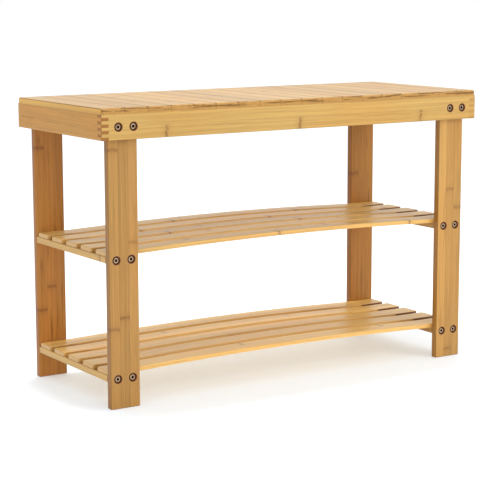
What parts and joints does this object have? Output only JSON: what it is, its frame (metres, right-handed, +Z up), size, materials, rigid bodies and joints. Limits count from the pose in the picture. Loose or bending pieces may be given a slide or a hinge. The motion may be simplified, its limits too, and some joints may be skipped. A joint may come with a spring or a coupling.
{
  "type": "entryway bench",
  "caption": "Bamboo entryway bench with a flat seat of edge-joined boards on a finger-jointed frame, flat legs and open slatted shoe shelves below.",
  "frame": {"origin": "on the floor, under the middle of the seat", "axes": "+X along the bench's length, -Y towards the front, +Z up"},
  "size_m": [0.7, 0.28, 0.45],
  "materials": {
    "bamboo_seat": "satin clear varnish",
    "bamboo_frame": "satin clear varnish",
    "bamboo_leg": "satin clear varnish",
    "bamboo_crossboard": "satin clear varnish",
    "bamboo_shelf": "satin clear varnish",
    "steel": "bright nickel plating"
  },
  "bodies": {
    "root": {"back_left_leg": "bamboo_leg", "back_rail": "bamboo_frame", "back_right_leg": "bamboo_leg", "front_left_leg": "bamboo_leg", "front_rail": "bamboo_frame", "front_right_leg": "bamboo_leg", "left_end_rail": "bamboo_frame", "lower_shelf_left_crossboard": "bamboo_crossboard", "lower_shelf_right_crossboard": "bamboo_crossboard", "lower_shelf_screws": "steel", "lower_shelf_slat_1": "bamboo_shelf", "lower_shelf_slat_2": "bamboo_shelf", "lower_shelf_slat_3": "bamboo_shelf", "lower_shelf_slat_4": "bamboo_shelf", "lower_shelf_slat_5": "bamboo_shelf", "middle_shelf_left_crossboard": "bamboo_crossboard", "middle_shelf_right_crossboard": "bamboo_crossboard", "middle_shelf_screws": "steel", "middle_shelf_slat_1": "bamboo_shelf", "middle_shelf_slat_2": "bamboo_shelf", "middle_shelf_slat_3": "bamboo_shelf", "middle_shelf_slat_4": "bamboo_shelf", "middle_shelf_slat_5": "bamboo_shelf", "right_end_rail": "bamboo_frame", "seat_screws": "steel", "seat_slat_01": "bamboo_seat", "seat_slat_02": "bamboo_seat", "seat_slat_03": "bamboo_seat", "seat_slat_04": "bamboo_seat", "seat_slat_05": "bamboo_seat", "seat_slat_06": "bamboo_seat", "seat_slat_07": "bamboo_seat", "seat_slat_08": "bamboo_seat", "seat_slat_09": "bamboo_seat", "seat_slat_10": "bamboo_seat", "seat_slat_11": "bamboo_seat", "seat_slat_12": "bamboo_seat", "seat_slat_13": "bamboo_seat", "seat_slat_14": "bamboo_seat", "seat_slat_15": "bamboo_seat", "seat_slat_16": "bamboo_seat", "seat_slat_17": "bamboo_seat", "seat_slat_18": "bamboo_seat"}
  },
  "joints": []
}
